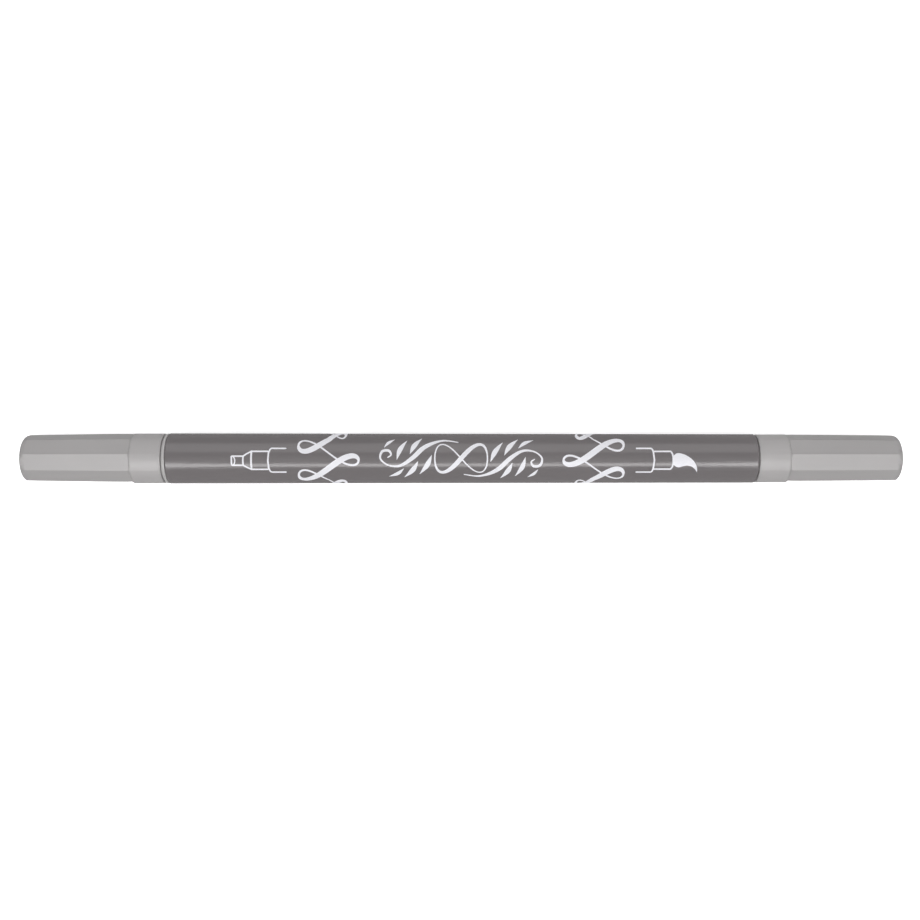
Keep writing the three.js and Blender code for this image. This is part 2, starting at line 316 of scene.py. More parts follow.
# The caps' edges are darkened as painted shade at their rims and corners, and their collars are painted
# paler as painted light.
cap_plastic = plastic(
    "cap_plastic", (0.350, 0.338, 0.338), roughness=0.50, grain=0.006, scratches=0.003,
    specular=0.9, edge_wear_and_shade=0.7, painted_collar_light=1.1,
)
section_plastic = plastic(
    "section_plastic", (0.43, 0.42, 0.417), roughness=0.36, grain=0.006, scratches=0.003, edge_wear_and_shade=1.15,
)
liner_plastic = plastic(
    "liner_plastic", (0.76, 0.76, 0.74), roughness=0.42, grain=0.006, scratches=0.002,
    edge_wear_and_shade=1.05, subsurface=0.3,
)
film_plastic = plastic(
    "film_plastic", (0.60, 0.62, 0.64), roughness=0.18, grain=0.002, scratches=0.002,
)
print_ink = ink("print_ink", (0.85, 0.845, 0.89))
nib_fibre = fibre(
    "nib_fibre", (0.018, 0.017, 0.018), (0.075, 0.070, 0.072), strand=3.2, depth=0.02,
)
brush_fibre = fibre(
    "brush_fibre", (0.014, 0.013, 0.014), (0.070, 0.066, 0.068), strand=6.0, depth=0.02,
)
core_fibre = fibre("core_fibre", (0.14, 0.13, 0.13), (0.34, 0.33, 0.32), strand=2.6, depth=0.05)


# ---------------------------------------------------------------- meshes


def rounded(corners, steps=4, guard=0.25):
    """Profile points [u, r] along straight runs, with each corner [u, r, radius] rounded off.

    A fillet takes at most 0.45 of each run beside it, and a tiny one is left out. A long run gets a
    point guard millimetres from each of its ends, so that it stays flat up to its fillets.
    """
    share, smallest = 0.45, 0.002
    points = [Vector(corners[0][:2])]
    for i in range(1, len(corners) - 1):
        here = Vector(corners[i][:2])
        back = Vector(corners[i - 1][:2]) - here
        ahead = Vector(corners[i + 1][:2]) - here
        half = back.angle(ahead) / 2
        radius = corners[i][2] if len(corners[i]) > 2 else 0
        reach = min(radius / math.tan(half), share * back.length, share * ahead.length)
        if reach < smallest:
            points.append(here)
            continue
        radius = reach * math.tan(half)
        inward = (back.normalized() + ahead.normalized()).normalized()
        centre = here + inward * radius / math.sin(half)
        first = here + back.normalized() * reach - centre
        last = here + ahead.normalized() * reach - centre
        sweep = math.pi - 2 * half
        for k in range(steps + 1):
            a = math.sin((1 - k / steps) * sweep) / math.sin(sweep)
            b = math.sin(k / steps * sweep) / math.sin(sweep)
            points.append(centre + first * a + last * b)
    points.append(Vector(corners[-1][:2]))
    held = [points[0]]
    for before, after in zip(points, points[1:]):
        run = after - before
        if run.length > 4 * guard:
            held += [before + run.normalized() * guard, after - run.normalized() * guard]
        held.append(after)
    return held


def joined(rings, loop=False):
    """Vertices and faces of rings joined in order, and the last to the first for a loop.

    A ring of one point is a pole.
    """
    points, faces, starts = [], [], []
    for row in rings:
        starts.append(len(points))
        points += row
    pairs = list(zip(range(len(rings)), range(1, len(rings))))
    if loop:
        pairs.append((len(rings) - 1, 0))
    for a, b in pairs:
        count = max(len(rings[a]), len(rings[b]))
        for i in range(count):
            corner = [
                starts[a] + i % len(rings[a]),
                starts[a] + (i + 1) % count % len(rings[a]),
                starts[b] + (i + 1) % count % len(rings[b]),
                starts[b] + i % len(rings[b]),
            ]
            faces.append(list(dict.fromkeys(corner)))
    return points, faces


def mark_wear_and_shade(mesh):
    """Stores how far each vertex stands on a convex edge, from 0 to 1, for the plastic's wear and for
    the painted shade of the caps' edges.
    """
    if "wear_and_shade_mask" in mesh.attributes:
        mesh.attributes.remove(mesh.attributes["wear_and_shade_mask"])
    bm = bmesh.new()
    bm.from_mesh(mesh)
    values = []
    for vertex in bm.verts:
        turns = [edge.calc_face_angle_signed(0) for edge in vertex.link_edges]
        sharpest = math.degrees(max(turns, default=0))
        values.append(min(1, max(0, (sharpest - EDGE_MARK_START) / EDGE_MARK_RANGE)))
    bm.free()
    mesh.attributes.new("wear_and_shade_mask", "FLOAT", "POINT").data.foreach_set("value", values)


def mark_painted_collar_light(mesh, limit):
    """Marks a cap's collar for its painted brightening: all of the cap that lies within limit of the
    middle.
    """
    values = [1.0 if abs(vertex.co.x) < limit else 0.0 for vertex in mesh.vertices]
    mesh.attributes.new("painted_collar_light", "FLOAT", "POINT").data.foreach_set("value", values)


def shape(name, points, faces, material, sharp=SHARP):
    """A closed mesh object from points in pen millimetres."""
    mesh = bpy.data.meshes.new(name)
    mesh.from_pydata([Vector((x, y, z + AXIS_HEIGHT)) * MM for x, y, z in points], [], faces)
    bm = bmesh.new()
    bm.from_mesh(mesh)
    bmesh.ops.recalc_face_normals(bm, faces=bm.faces)
    bm.to_mesh(mesh)
    bm.free()
    piece = bpy.data.objects.new(name, mesh)
    bpy.context.scene.collection.objects.link(piece)
    piece.data.materials.append(material)
    finish_mesh(piece, sharp)
    return piece


def finish_mesh(piece, sharp=SHARP):
    """Smooth shading with sharp edges, and the mark of convex edges for wear and painted shade."""
    mesh = piece.data
    mesh.polygons.foreach_set("use_smooth", [True] * len(mesh.polygons))
    mesh.set_sharp_from_angle(angle=math.radians(sharp))
    mark_wear_and_shade(mesh)


def ring(x, radius, count=ROUND):
    """The points round one place of a turned piece."""
    turn = 2 * math.pi / count
    if radius < POLE:
        return [(x, 0, 0)]
    return [(x, radius * math.sin(i * turn), radius * math.cos(i * turn)) for i in range(count)]


def turned(name, end, profile, material, loop=False):
    """A turned piece from its profile of [u, r]."""
    rings = [ring(end.x(u), r) for u, r in profile]
    return shape(name, *joined(rings, loop), material)


def cut(piece, cutters):
    """Cuts the cutters out of a piece, and removes them."""
    for cutter in cutters:
        modifier = piece.modifiers.new("cut", "BOOLEAN")
        modifier.operation = "DIFFERENCE"
        modifier.solver = "EXACT"
        modifier.object = cutter
    bpy.context.view_layer.update()
    evaluated = piece.evaluated_get(bpy.context.evaluated_depsgraph_get())
    result = bpy.data.meshes.new_from_object(evaluated)
    piece.modifiers.clear()
    old = piece.data
    name = old.name
    piece.data = result
    bpy.data.meshes.remove(old)
    result.name = name
    for cutter in cutters:
        bpy.data.objects.remove(cutter)
    bm = bmesh.new()
    bm.from_mesh(result)
    bmesh.ops.remove_doubles(bm, verts=bm.verts, dist=WELD * MM)
    bmesh.ops.dissolve_degenerate(bm, edges=bm.edges, dist=SLIVER * MM)
    bm.to_mesh(result)
    bm.free()
    finish_mesh(piece)


def block(end, u0, u1, half_y, half_z):
    """A box cutter centred on the pen's axis, from u0 to u1."""
    corners = ((-half_y, -half_z), (half_y, -half_z), (half_y, half_z), (-half_y, half_z))
    points, faces = joined([[(end.x(u), y, z) for y, z in corners] for u in (u0, u1)])
    faces += [[0, 1, 2, 3], [4, 5, 6, 7]]
    return shape("cutter", points, faces, section_plastic)


def hold_flat(piece):
    """Flat faces keep their own shading right up to their fillets."""
    modifier = piece.modifiers.new("flat_faces", "WEIGHTED_NORMAL")
    modifier.keep_sharp = True


def add(piece, body, nodes=()):
    """Puts a piece on its body, and hides the CAD nodes that it stands for."""
    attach(piece, body)
    if nodes:
        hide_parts(*nodes)


def barrel_radius(x):
    """The barrel's outer radius at x, which tapers evenly from left to right."""
    span = RIGHT_MOUTH - LEFT_MOUTH
    return RADIUS_LEFT + (RADIUS_RIGHT - RADIUS_LEFT) * (x - LEFT_MOUTH) / span


# ---------------------------------------------------------------- barrel and core


def make_barrel():
    """The tube, with rounded mouths and the six ribs inside that centre the ink core."""
    left, right, edge = LEFT_MOUTH, RIGHT_MOUTH, MOUTH_ROUNDING
    outside = rounded(
        [
            [left + MOUTH_DEPTH, BARREL_BORE], [left, BARREL_BORE, edge], [left, RADIUS_LEFT, edge],
            [right, RADIUS_RIGHT, edge], [right, BARREL_BORE, edge], [right - MOUTH_DEPTH, BARREL_BORE],
        ],
        steps=6,
    )
    rings = [ring(x, r, BARREL_POINTS) for x, r in outside]
    per_rib = BARREL_POINTS // RIBS
    ribs_left, ribs_right = left + RIB_SETBACK, right - RIB_SETBACK
    inside = (
        (ribs_right + RIB_SLOPE, False), (ribs_right, True),
        (ribs_left, True), (ribs_left - RIB_SLOPE, False),
    )
    for x, ribbed in inside:
        row = []
        for i in range(BARREL_POINTS):
            offset = abs((i + per_rib // 2) % per_rib - per_rib // 2)
            radius = RIB_FOOT if ribbed and offset <= RIB_HALF else BARREL_BORE
            turn = i * 2 * math.pi / BARREL_POINTS
            row.append((x, radius * math.sin(turn), radius * math.cos(turn)))
        rings.append(row)
    barrel = shape("barrel_tube", *joined(rings, loop=True), barrel_plastic)
    hold_flat(barrel)
    add(barrel, "barrel", ["barrel"])


def make_core():
    """The fibre core, hollowed where each nib's tail presses into it, and the sleeve round it."""
    low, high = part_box("ink_reservoir")
    left, right = low.x / MM, high.x / MM
    middle = End("middle", 1, 0)
    profile = rounded([[left, 0], [left, CORE_RADIUS, 0.15], [right, CORE_RADIUS, 0.15], [right, 0]])
    core = turned("ink_core", middle, profile, core_fibre)
    nib_tail = CALLIGRAPHY.reach("calligraphy_nib")[0] - NIB_GAP
    slot = block(
        CALLIGRAPHY, nib_tail, CORE_STOP, NIB_WIDTH / 2 + NIB_ROOM, NIB_THICKNESS / 2 + NIB_ROOM,
    )
    brush_tail = BRUSH.reach("brush_nib")[0] - NIB_GAP
    bore = BRUSH_RADIUS + NIB_ROOM
    hole = turned(
        "hole", BRUSH,
        [[brush_tail, 0], [brush_tail, bore], [CORE_STOP, bore], [CORE_STOP, 0]], core_fibre,
    )
    cut(core, [slot, hole])
    add(core, "barrel", ["ink_reservoir"])
    inside = CORE_RADIUS + FILM_GAP
    corners = ((left, inside), (left, FILM_RADIUS), (right, FILM_RADIUS), (right, inside))
    film_rings = [ring(x, r) for x, r in corners]
    film = shape("core_sleeve", *joined(film_rings, loop=True), film_plastic)
    add(film, "barrel", ["reservoir_film"])


# ---------------------------------------------------------------- sections and nibs


def section_back(end):
    """The outside of a section from its tail, over its stepped flange, to past its snap bead."""
    return [
        [SECTION_TAIL, CHAMBER_RADIUS, 0.15],
        [SECTION_TAIL, TAIL_RADIUS, 0.5],
        [FLANGE_GAP, TAIL_RADIUS, 0.03],
        [FLANGE_GAP, end.flange_radius, 0.05],
        [end.flange, end.flange_radius, 0.1],
        [end.flange, end.step_radius, 0.05],
        [end.step, end.step_radius, 0.05],
        [end.step, end.seat, 0.08],
        [BEAD_CENTRE - 2 * BEAD_HALF, end.seat, 0.3],
        [BEAD_CENTRE - BEAD_HALF, end.bead, 0.3],
        [BEAD_CENTRE + BEAD_HALF, end.bead, 0.3],
        [BEAD_CENTRE + 2 * BEAD_HALF, end.seat, 0.3],
    ]


def make_section_calligraphy():
    """The section at the flat nib's end, which tapers to a nose with a slot through it."""
    end = CALLIGRAPHY
    nose = end.reach("section_calligraphy")[1]
    profile = rounded([
        [9.0, 0], [8.0, CHAMBER_RADIUS - 0.4, 0.4], [6.0, CHAMBER_RADIUS, 1.0],
        *section_back(end),
        [end.seal_start - 0.3, end.seat, 0.15],
        [end.seal_start, SEAL_RADIUS, 0.12],
        [end.seal_end, SEAL_RADIUS, 0.5],
        [10.6, 2.05, 0.8],
        [nose, 1.97, 0.25],
        [nose, 0],
    ])
    section = turned("calligraphy_section", end, profile, section_plastic)
    # The nib's slot goes from inside the chamber out through the nose.
    slot = block(end, 7.0, nose + 1, NIB_WIDTH / 2 + RUN, NIB_THICKNESS / 2 + RUN)
    cut(section, [slot, block(end, *AIR_NOTCH)])
    hold_flat(section)
    add(section, "barrel", ["section_calligraphy"])


def make_section_brush():
    """The section at the brush's end, with a straight bore that the brush stands in."""
    end = BRUSH
    nose = end.reach("section_brush")[1]
    bore = BRUSH_RADIUS + RUN
    profile = rounded([
        [nose - 1, bore], [3.0, bore, 0.1], [2.4, CHAMBER_RADIUS, 0.3],
        *section_back(end),
        [end.seal_start, end.seat, 0.95],
        [end.seal_start + 0.02, SEAL_RADIUS, 0.06],
        [nose, SEAL_RADIUS, 0.3],
        [nose, bore, 0.12],
        [nose - 1, bore],
    ])[:-1]
    section = turned("brush_section", end, profile, section_plastic, loop=True)
    cut(section, [block(end, *AIR_NOTCH)])
    hold_flat(section)
    add(section, "barrel", ["section_brush"])


def make_calligraphy_nib():
    """A flat strip of pressed fibre, ground to a wedge, with softened edges."""
    end = CALLIGRAPHY
    tail, tip = end.reach("calligraphy_nib")
    wedge = end.reach("section_calligraphy")[1] - 0.1
    half, edge = NIB_THICKNESS / 2, NIB_EDGE / 2
    side = [[tail, -half], [wedge, -half], [tip, -edge], [tip, edge], [wedge, half], [tail, half]]
    rings = [[(end.x(u), y, z) for u, z in side] for y in (-NIB_WIDTH / 2, NIB_WIDTH / 2)]
    points, faces = joined(rings)
    faces += [list(range(len(side))), list(range(len(side), 2 * len(side)))]
    nib = shape("flat_nib", points, faces, nib_fibre)
    bm = bmesh.new()
    bm.from_mesh(nib.data)
    bmesh.ops.bevel(
        bm, geom=bm.edges[:], offset=NIB_SOFTENING * MM, segments=3, profile=0.5,
        affect="EDGES", clamp_overlap=True,
    )
    bmesh.ops.recalc_face_normals(bm, faces=bm.faces)
    bm.to_mesh(nib.data)
    bm.free()
    finish_mesh(nib)
    hold_flat(nib)
    add(nib, "barrel", ["calligraphy_nib"])


def make_brush_nib():
    """The brush tip: it curves from its section to a point, with fine grooves down its length."""
    end = BRUSH
    tail, tip = end.reach("brush_nib")
    root = end.reach("section_brush")[1]
    length = tip - root
    # Rows of u, the radius and how strongly it is grooved, from 0 to 1.
    profile = [
        (tail, 0, 0), (tail, BRUSH_RADIUS - 0.3, 0), (tail + 0.3, BRUSH_RADIUS, 0),
        (root - 0.3, BRUSH_RADIUS, 0),
    ]
    for i in range(1, BRUSH_STEPS):
        t = i / BRUSH_STEPS
        # The exponents say how full the brush is, and how sharp its point.
        radius = BRUSH_RADIUS * (1 - t ** 1.9) ** 0.95
        profile.append((root + t * length, radius, min(1, 6 * t)))
    profile.append((tip, 0, 0))
    rings = []
    for u, radius, grooved in profile:
        if radius == 0:
            rings.append([(end.x(u), 0, 0)])
            continue
        row = []
        for i in range(ROUND):
            turn = 2 * math.pi * i / ROUND
            # Three waves of different counts make the grooves uneven. They add up to 1 at most.
            groove = 0.5 * math.sin(31 * turn + 0.35 * u) + 0.3 * math.sin(19 * turn - 0.5 * u)
            groove += 0.2 * math.sin(7 * turn + 1.3)
            depth = GROOVE_DEPTH * grooved * min(1, radius)
            local = radius - depth * (1 + groove) / 2
            row.append((end.x(u), local * math.sin(turn), local * math.cos(turn)))
        rings.append(row)
    brush = shape("brush_tip_fibres", *joined(rings), brush_fibre, sharp=60)
    start = Vector((end.x(root), 0, AXIS_HEIGHT)) * MM
    stop = Vector((end.x(root + BRUSH_BLEND), 0, AXIS_HEIGHT)) * MM
    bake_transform(brush)
    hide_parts("brush_nib")


# ---------------------------------------------------------------- caps


def nonagon(apothem):
    """Points [y, z] of a nine-sided ring with rounded corners. One of its corners faces +Y."""
    half = math.pi / FLATS
    inner = apothem - CORNER_ROUNDING
    reach = inner * math.tan(half)
    points = []
    for k in range(FLATS):
        facing = FIRST_FLAT + 2 * half * k
        out = Vector((math.cos(facing), math.sin(facing)))
        along = Vector((-math.sin(facing), math.cos(facing)))
        for j in range(FLAT_POINTS):
            points.append(out * apothem + along * reach * (2 * j / (FLAT_POINTS - 1) - 1))
        corner = out * inner + along * reach
        for j in range(1, CORNER_POINTS):
            angle = facing + 2 * half * j / CORNER_POINTS
            points.append(corner + CORNER_ROUNDING * Vector((math.cos(angle), math.sin(angle))))
    return points


def round_ring(end, u, radius, headings):
    """The points round a turned part of a cap, each in line with a point of its flats."""
    if radius < POLE:
        return [(end.x(u), 0, 0)]
    return [(end.x(u), way.x * radius, way.y * radius) for way in headings]


def cap_inside(end, start, floor, shoulder):
    """The profile from the bore's floor out of the cap's mouth and along its collar."""
    outer = end.collar_radius
    liner_bore = LINER_RADIUS + RUN
    groove = end.bore + BEAD_GROOVE
    return rounded([
        [floor, 0],
        [floor, liner_bore, 0.5],
        [LINER_STEP[1], liner_bore, 0.15],
        [LINER_STEP[0], end.bore, 0.15],
        [BEAD_CENTRE + 2 * BEAD_HALF, end.bore, 0.2],
        [BEAD_CENTRE + BEAD_HALF, groove, 0.2],
        [BEAD_CENTRE - BEAD_HALF, groove, 0.2],
        [BEAD_CENTRE - 2 * BEAD_HALF, end.bore, 0.2],
        [start + 0.25, end.bore, 0.1],
        [start, end.bore + 0.2, 0.1],
        [start, outer, 0.15],
        [shoulder - COLLAR_FADE, outer],
    ])


def shoulder_rings(end, shoulder, at_shoulder, headings):
    """The step from the round collar down to the flats, with both of its edges rounded."""
    outer, steps = end.collar_radius, 4
    falls = [outer - point.length for point in at_shoulder]
    # The two roundings share the fall, so they get smaller where it is low.
    edges = [min(SHOULDER_ROUNDING, fall / 2.2) for fall in falls]
    rings = []
    for inward in (False, True):
        for k in range(steps + 1):
            rise = math.sin(k / steps * math.pi / 2)
            run = math.cos(k / steps * math.pi / 2)
            row = []
            for way, fall, edge in zip(headings, falls, edges):
                u = shoulder + edge * (1 - run) if inward else shoulder - edge * (1 - rise)
                radius = outer - fall + edge * (1 - rise) if inward else outer - edge * (1 - run)
                row.append((end.x(u), way.x * radius, way.y * radius))
            rings.append(row)
    return rings


def end_rings(end, edge_start, at_edge):
    """The rounded edge of a cap's far end. It is turned, so it bites further into the corners."""
    steps = 8
    bites = [math.acos(1 - (end.end_radius - point.length) / END_ROUNDING) for point in at_edge]
    rings = []
    for k in range(steps + 1):
        row = []
        for point, bite in zip(at_edge, bites):
            angle = bite + (math.pi / 2 - bite) * k / steps
            way = point.normalized() * (end.end_radius - END_ROUNDING * (1 - math.cos(angle)))
            row.append((end.x(edge_start + END_ROUNDING * math.sin(angle)), way.x, way.y))
        rings.append(row)
    return rings


def make_cap(end):
    """A cap shell: bored inside, with a round collar, nine tapering flats and a flat end."""
    node = f"cap_{end.name}_shell"
    start, stop = end.reach(node)
    shoulder = start + end.collar
    edge_start = stop - END_ROUNDING
    flat_start = (end.collar_radius - COLLAR_SINK) * math.cos(math.pi / FLATS)
    flat_stop = end.end_radius * math.cos(math.pi / FLATS)
    at_shoulder = nonagon(flat_start)
    headings = [point.normalized() for point in at_shoulder]

    def apothem_at(u):
        return flat_start + (flat_stop - flat_start) * ((u - shoulder) / (stop - shoulder)) ** TAPER

    inside = cap_inside(end, start, stop - END_WALL, shoulder)
    rings = [round_ring(end, u, radius, headings) for u, radius in inside]
    rings += shoulder_rings(end, shoulder, at_shoulder, headings)
    # The flats dip a little close to the collar: how far past the shoulder, and how deep.
    dips = ((0.12, 0.05), (0.3, 0.045), (0.6, 0.02), (1.0, 0))
    flats = [[shoulder + past, dip] for past, dip in dips]
    # Then eight even steps, up to 0.2 short of the rounded edge.
    flats += [[shoulder + 1 + (edge_start - shoulder - 1.2) * k / 8, 0] for k in range(1, 9)]
    for u, dip in flats:
        rings.append([(end.x(u), point.x, point.y) for point in nonagon(apothem_at(u) - dip)])
    rings += end_rings(end, edge_start, nonagon(apothem_at(edge_start + END_ROUNDING / 2)))
    # The end is flat, with the shallow dimple and the trimmed stub of its moulding gate.
    face = end.end_radius - END_ROUNDING
    gate = [
        [0, face - 0.3], [0, 2.4], [0, 1.3], [0, 0.95], [0.01, 0.88], [0.09, 0.80], [0.1, 0.72],
        [0.1, 0.42], [0.09, 0.37], [0.03, 0.34], [0.015, 0.28], [0.01, 0],
    ]
    rings += [round_ring(end, stop - depth, radius, headings) for depth, radius in gate]
    shell = shape(f"{end.name}_cap", *joined(rings), cap_plastic)
    # The collar is marked for its painted brightening.
    mark_painted_collar_light(shell.data, abs(end.x(shoulder - PAINTED_LIGHT_MARGIN)) * MM)
    hold_flat(shell)
    add(shell, f"cap_{end.name}", [node])


def make_liner(end):
    """The soft liner that fills a cap's far end and seals round the section's nose."""
    node = f"cap_{end.name}_liner"
    start, back = end.reach(node)
    floor = back - LINER_WALL
    inside = SEAL_RADIUS + RUN
    profile = rounded([
        [floor, 0], [floor, inside, 0.4], [start, inside, 0.15], [start, LINER_RADIUS, 0.12],
        [back, LINER_RADIUS, 0.5], [back, 0],
    ])
    liner = turned(f"{end.name}_cap_liner", end, profile, liner_plastic)
    hold_flat(liner)
    add(liner, f"cap_{end.name}", [node])


# ---------------------------------------------------------------- printing

# The ornaments are drawn as [x, s, width], with s the arc round the barrel towards +Y.
PRINT_LIFT = 0.016  # how far the ink stands off the barrel
PRINT_SINK = 0.004  # how far its underside lies inside the barrel
LAYER = 0.001  # how far one stroke stands off the one it crosses
LINE = 0.31  # width of the thin drawn lines
LONGEST_STEP = 0.2
COLUMNS = 4  # faces across a stroke, which follow the barrel's curve
BAND_REPEATS = 5
LOOP_POINTS = 96  # rows of points in each repeat
LOOP_REACH = 5.74  # half the width of a band
LOOP_SHORTER = 2.65
LOOP_HEIGHT = 3.2  # how strongly the line swings back: above 1, it makes loops
LOOP_TALLER = 0.38  # half of what is added to that at the back
LOOP_THIN = 0.3  # the thinnest width
LOOP_THICK = 0.86  # how much wider the thick stroke is
LOOP_TURN = 0.12  # how much wider the turns are
KNOT_POINTS = 96  # points round the knot in the middle ornament


def between(p, q, r, v, t):
    """The value a share t of the way from q to r, on a smooth curve through p, q, r and v."""
    square = (2 * p - 5 * q + 4 * r - v) * t * t
    cube = (3 * q - p - 3 * r + v) * t ** 3
    return 0.5 * (2 * q + (r - p) * t + square + cube)


def curve(points, steps=9):
    """Points [x, s, width] on a smooth curve through the given ones."""
    result = []
    padded = [points[0], *points, points[-1]]
    for a, b, c, d in zip(padded, padded[1:], padded[2:], padded[3:]):
        for k in range(steps):
            result.append([between(p, q, r, v, k / steps) for p, q, r, v in zip(a, b, c, d)])
    result.append(list(points[-1]))
    return result


def straight(points, width=LINE, corner=0.16):
    """Points [x, s, width] along straight lines, with each corner [x, s] or [x, s, radius] rounded."""
    corners = [[*point[:2], point[2] if len(point) > 2 else corner] for point in points]
    return [[*point, width] for point in rounded(corners, steps=5, guard=0.4)]


def ribbon_ring(spot, way, half, lift):
    """The points round one row of a ribbon: across its top, then back across its underside.

    spot is the row's middle, way the direction of the stroke and half the half of its width.
    """
    side = Vector((-way.y, way.x))
    top, bottom = [], []
    for k in range(COLUMNS + 1):
        x, s = spot + side * half * (2 * k / COLUMNS - 1)
        radius = barrel_radius(x)
        up, over = math.cos(s / radius), math.sin(s / radius)
        for line, height in ((top, PRINT_LIFT + lift), (bottom, -PRINT_SINK)):
            line.append((x, (radius + height) * over, (radius + height) * up))
    return top + bottom[::-1]


def dense(path):
    """The same path with no step longer than LONGEST_STEP, to follow the barrel's curve."""
    result = [path[0]]
    for before, after in zip(path, path[1:]):
        gap = math.dist(before[:2], after[:2])
        steps = max(1, math.ceil(gap / LONGEST_STEP))
        for k in range(1, steps + 1):
            result.append([a + (b - a) * k / steps for a, b in zip(before, after)])
    return result


def printed(name, strokes):
    """One printed piece from strokes of [path, lift], each a thin closed ribbon on the barrel."""
    points, faces = [], []
    for path, lift in strokes:
        path = dense(path)
        # A path that stops where it starts is a closed loop.
        closed = math.dist(path[0][:2], path[-1][:2]) < 0.001
        rows = []
        last = len(path) - 1
        for i, (x, s, width) in enumerate(path[:-1] if closed else path):
            before = path[(i - 1) % last] if closed else path[max(0, i - 1)]
            after = path[(i + 1) % last] if closed else path[min(last, i + 1)]
            way = Vector((after[0] - before[0], after[1] - before[1])).normalized()
            rows.append((Vector((x, s)), way, width / 2))
        if not closed:
            rows = round_end(rows[0], -1) + rows + round_end(rows[-1], 1)
        more, joins = joined([ribbon_ring(*row, lift) for row in rows], closed)
        if not closed:
            size = 2 * COLUMNS + 2
            joins += [list(range(size)), list(range(len(more) - size, len(more)))]
        faces += [[corner + len(points) for corner in face] for face in joins]
        points += more
    add(shape(name, points, faces, print_ink), "barrel")


def round_end(row, side):
    """Extra rows that close a stroke with a half circle."""
    spot, way, half = row
    made = []
    for angle in (25, 50, 70, 84):
        turn = math.radians(angle)
        made.append((spot + way * side * half * math.sin(turn), way, half * math.cos(turn)))
    return made if side > 0 else made[::-1]


def make_loops(name, centre, first, varying, front):
    """A band of calligraphic loops all the way round, as one closed ribbon.

    It is thick on its way right and thin on its way back, and where it crosses itself the thick
    stroke lies on top. first is where round the barrel it starts, in degrees. The loops that point
    the varying way, -1 or 1, are shorter, except for the front one.
    """
    radius = barrel_radius(centre)
    pitch = 2 * math.pi * radius / BAND_REPEATS
    count = LOOP_POINTS
    path = []
    for i in range(count * BAND_REPEATS):
        t = i / count
        across = -math.cos(2 * math.pi * t)
        x = centre + LOOP_REACH * across
        apart = abs((t - front + BAND_REPEATS / 2) % BAND_REPEATS - BAND_REPEATS / 2)
        if apart > 0.5:
            x -= varying * LOOP_SHORTER * max(0, varying * across)
        # Away from the front the loops are drawn taller, as the barrel's curve flattens them there.
        height = LOOP_HEIGHT + LOOP_TALLER * (1 - math.cos(2 * math.pi * min(0.5, apart)))
        swing = height * pitch / (4 * math.pi) * math.sin(4 * math.pi * t)
        s = math.radians(first) * radius + pitch * t - swing
        thick, turn = max(0, math.sin(2 * math.pi * t)), abs(math.cos(2 * math.pi * t))
        path.append((x, s, LOOP_THIN + LOOP_THICK * thick ** 0.85 + LOOP_TURN * turn))
    rings = []
    for i, (x, s, width) in enumerate(path):
        before, after = path[i - 1], path[(i + 1) % len(path)]
        ahead = (after[1] - before[1]) % (2 * math.pi * radius)
        if ahead > math.pi * radius:
            ahead -= 2 * math.pi * radius
        way = Vector((after[0] - before[0], ahead)).normalized()
        lift = 3 * LAYER * math.sin(2 * math.pi * i / count)
        rings.append(ribbon_ring(Vector((x, s)), way, width / 2, lift))
    add(shape(name, *joined(rings, loop=True), print_ink), "barrel")


def turned_round(path):
    """The same path upside down, as at the other side of the pen's middle."""
    return [[-x, -s, width] for x, s, width in path]


def make_flourish():
    """The ornament in the middle: a knot with a leafed scroll on each side, the same upside down."""
    # The knot is a figure of eight on its side, 10 long and 5.6 high.
    knot = []
    for i in range(KNOT_POINTS + 1):
        t = 2 * math.pi * i / KNOT_POINTS
        width = 0.26 + 0.62 * max(0, math.cos(t)) ** 1.5
        knot.append([5.0 * math.sin(t), 5.6 * math.sin(t) * math.cos(t), width])
    scroll = curve([
        [0.6, -3.3, 0.2], [3.6, -3.7, 0.45], [6.8, -2.3, 0.85], [9.2, -0.1, 0.8], [11.6, 1.4, 0.5],
        [13.8, 1.3, 0.3], [15.3, 0.1, 0.34], [15.0, -1.3, 0.5], [13.8, -1.5, 0.5], [13.3, -0.7, 0.32],
        [13.9, -0.2, 0.22],
    ])
    leaves = [
        [[5.6, -0.6, 0.08], [6.4, 1.2, 0.95], [7.9, 3.2, 0.06]],
        [[8.2, 0.6, 0.08], [9.2, 2.3, 0.95], [10.8, 4.0, 0.06]],
        [[10.9, 2.0, 0.08], [12.1, 3.1, 0.75], [13.7, 3.8, 0.06]],
        [[9.7, -0.9, 0.08], [8.9, -2.5, 0.95], [7.5, -4.3, 0.06]],
        [[12.2, 0.2, 0.08], [11.6, -1.7, 0.9], [10.3, -3.7, 0.06]],
        [[14.6, -2.2, 0.08], [13.8, -3.2, 0.6], [12.7, -4.0, 0.06]],
    ]
    strokes = [[knot, 0]]
    for flip in (False, True):
        for path, lift in [(scroll, 3 * LAYER)] + [(curve(leaf), LAYER) for leaf in leaves]:
            strokes.append([turned_round(path) if flip else path, lift])
    printed("print_flourish", strokes)


def arc(x, s, half, bulge, width=LINE):
    """An upright arc centred on x and s that bulges along x."""
    return [[x + bulge * (1 - (k / 6) ** 2), s + half * k / 6, width] for k in range(-6, 7)]


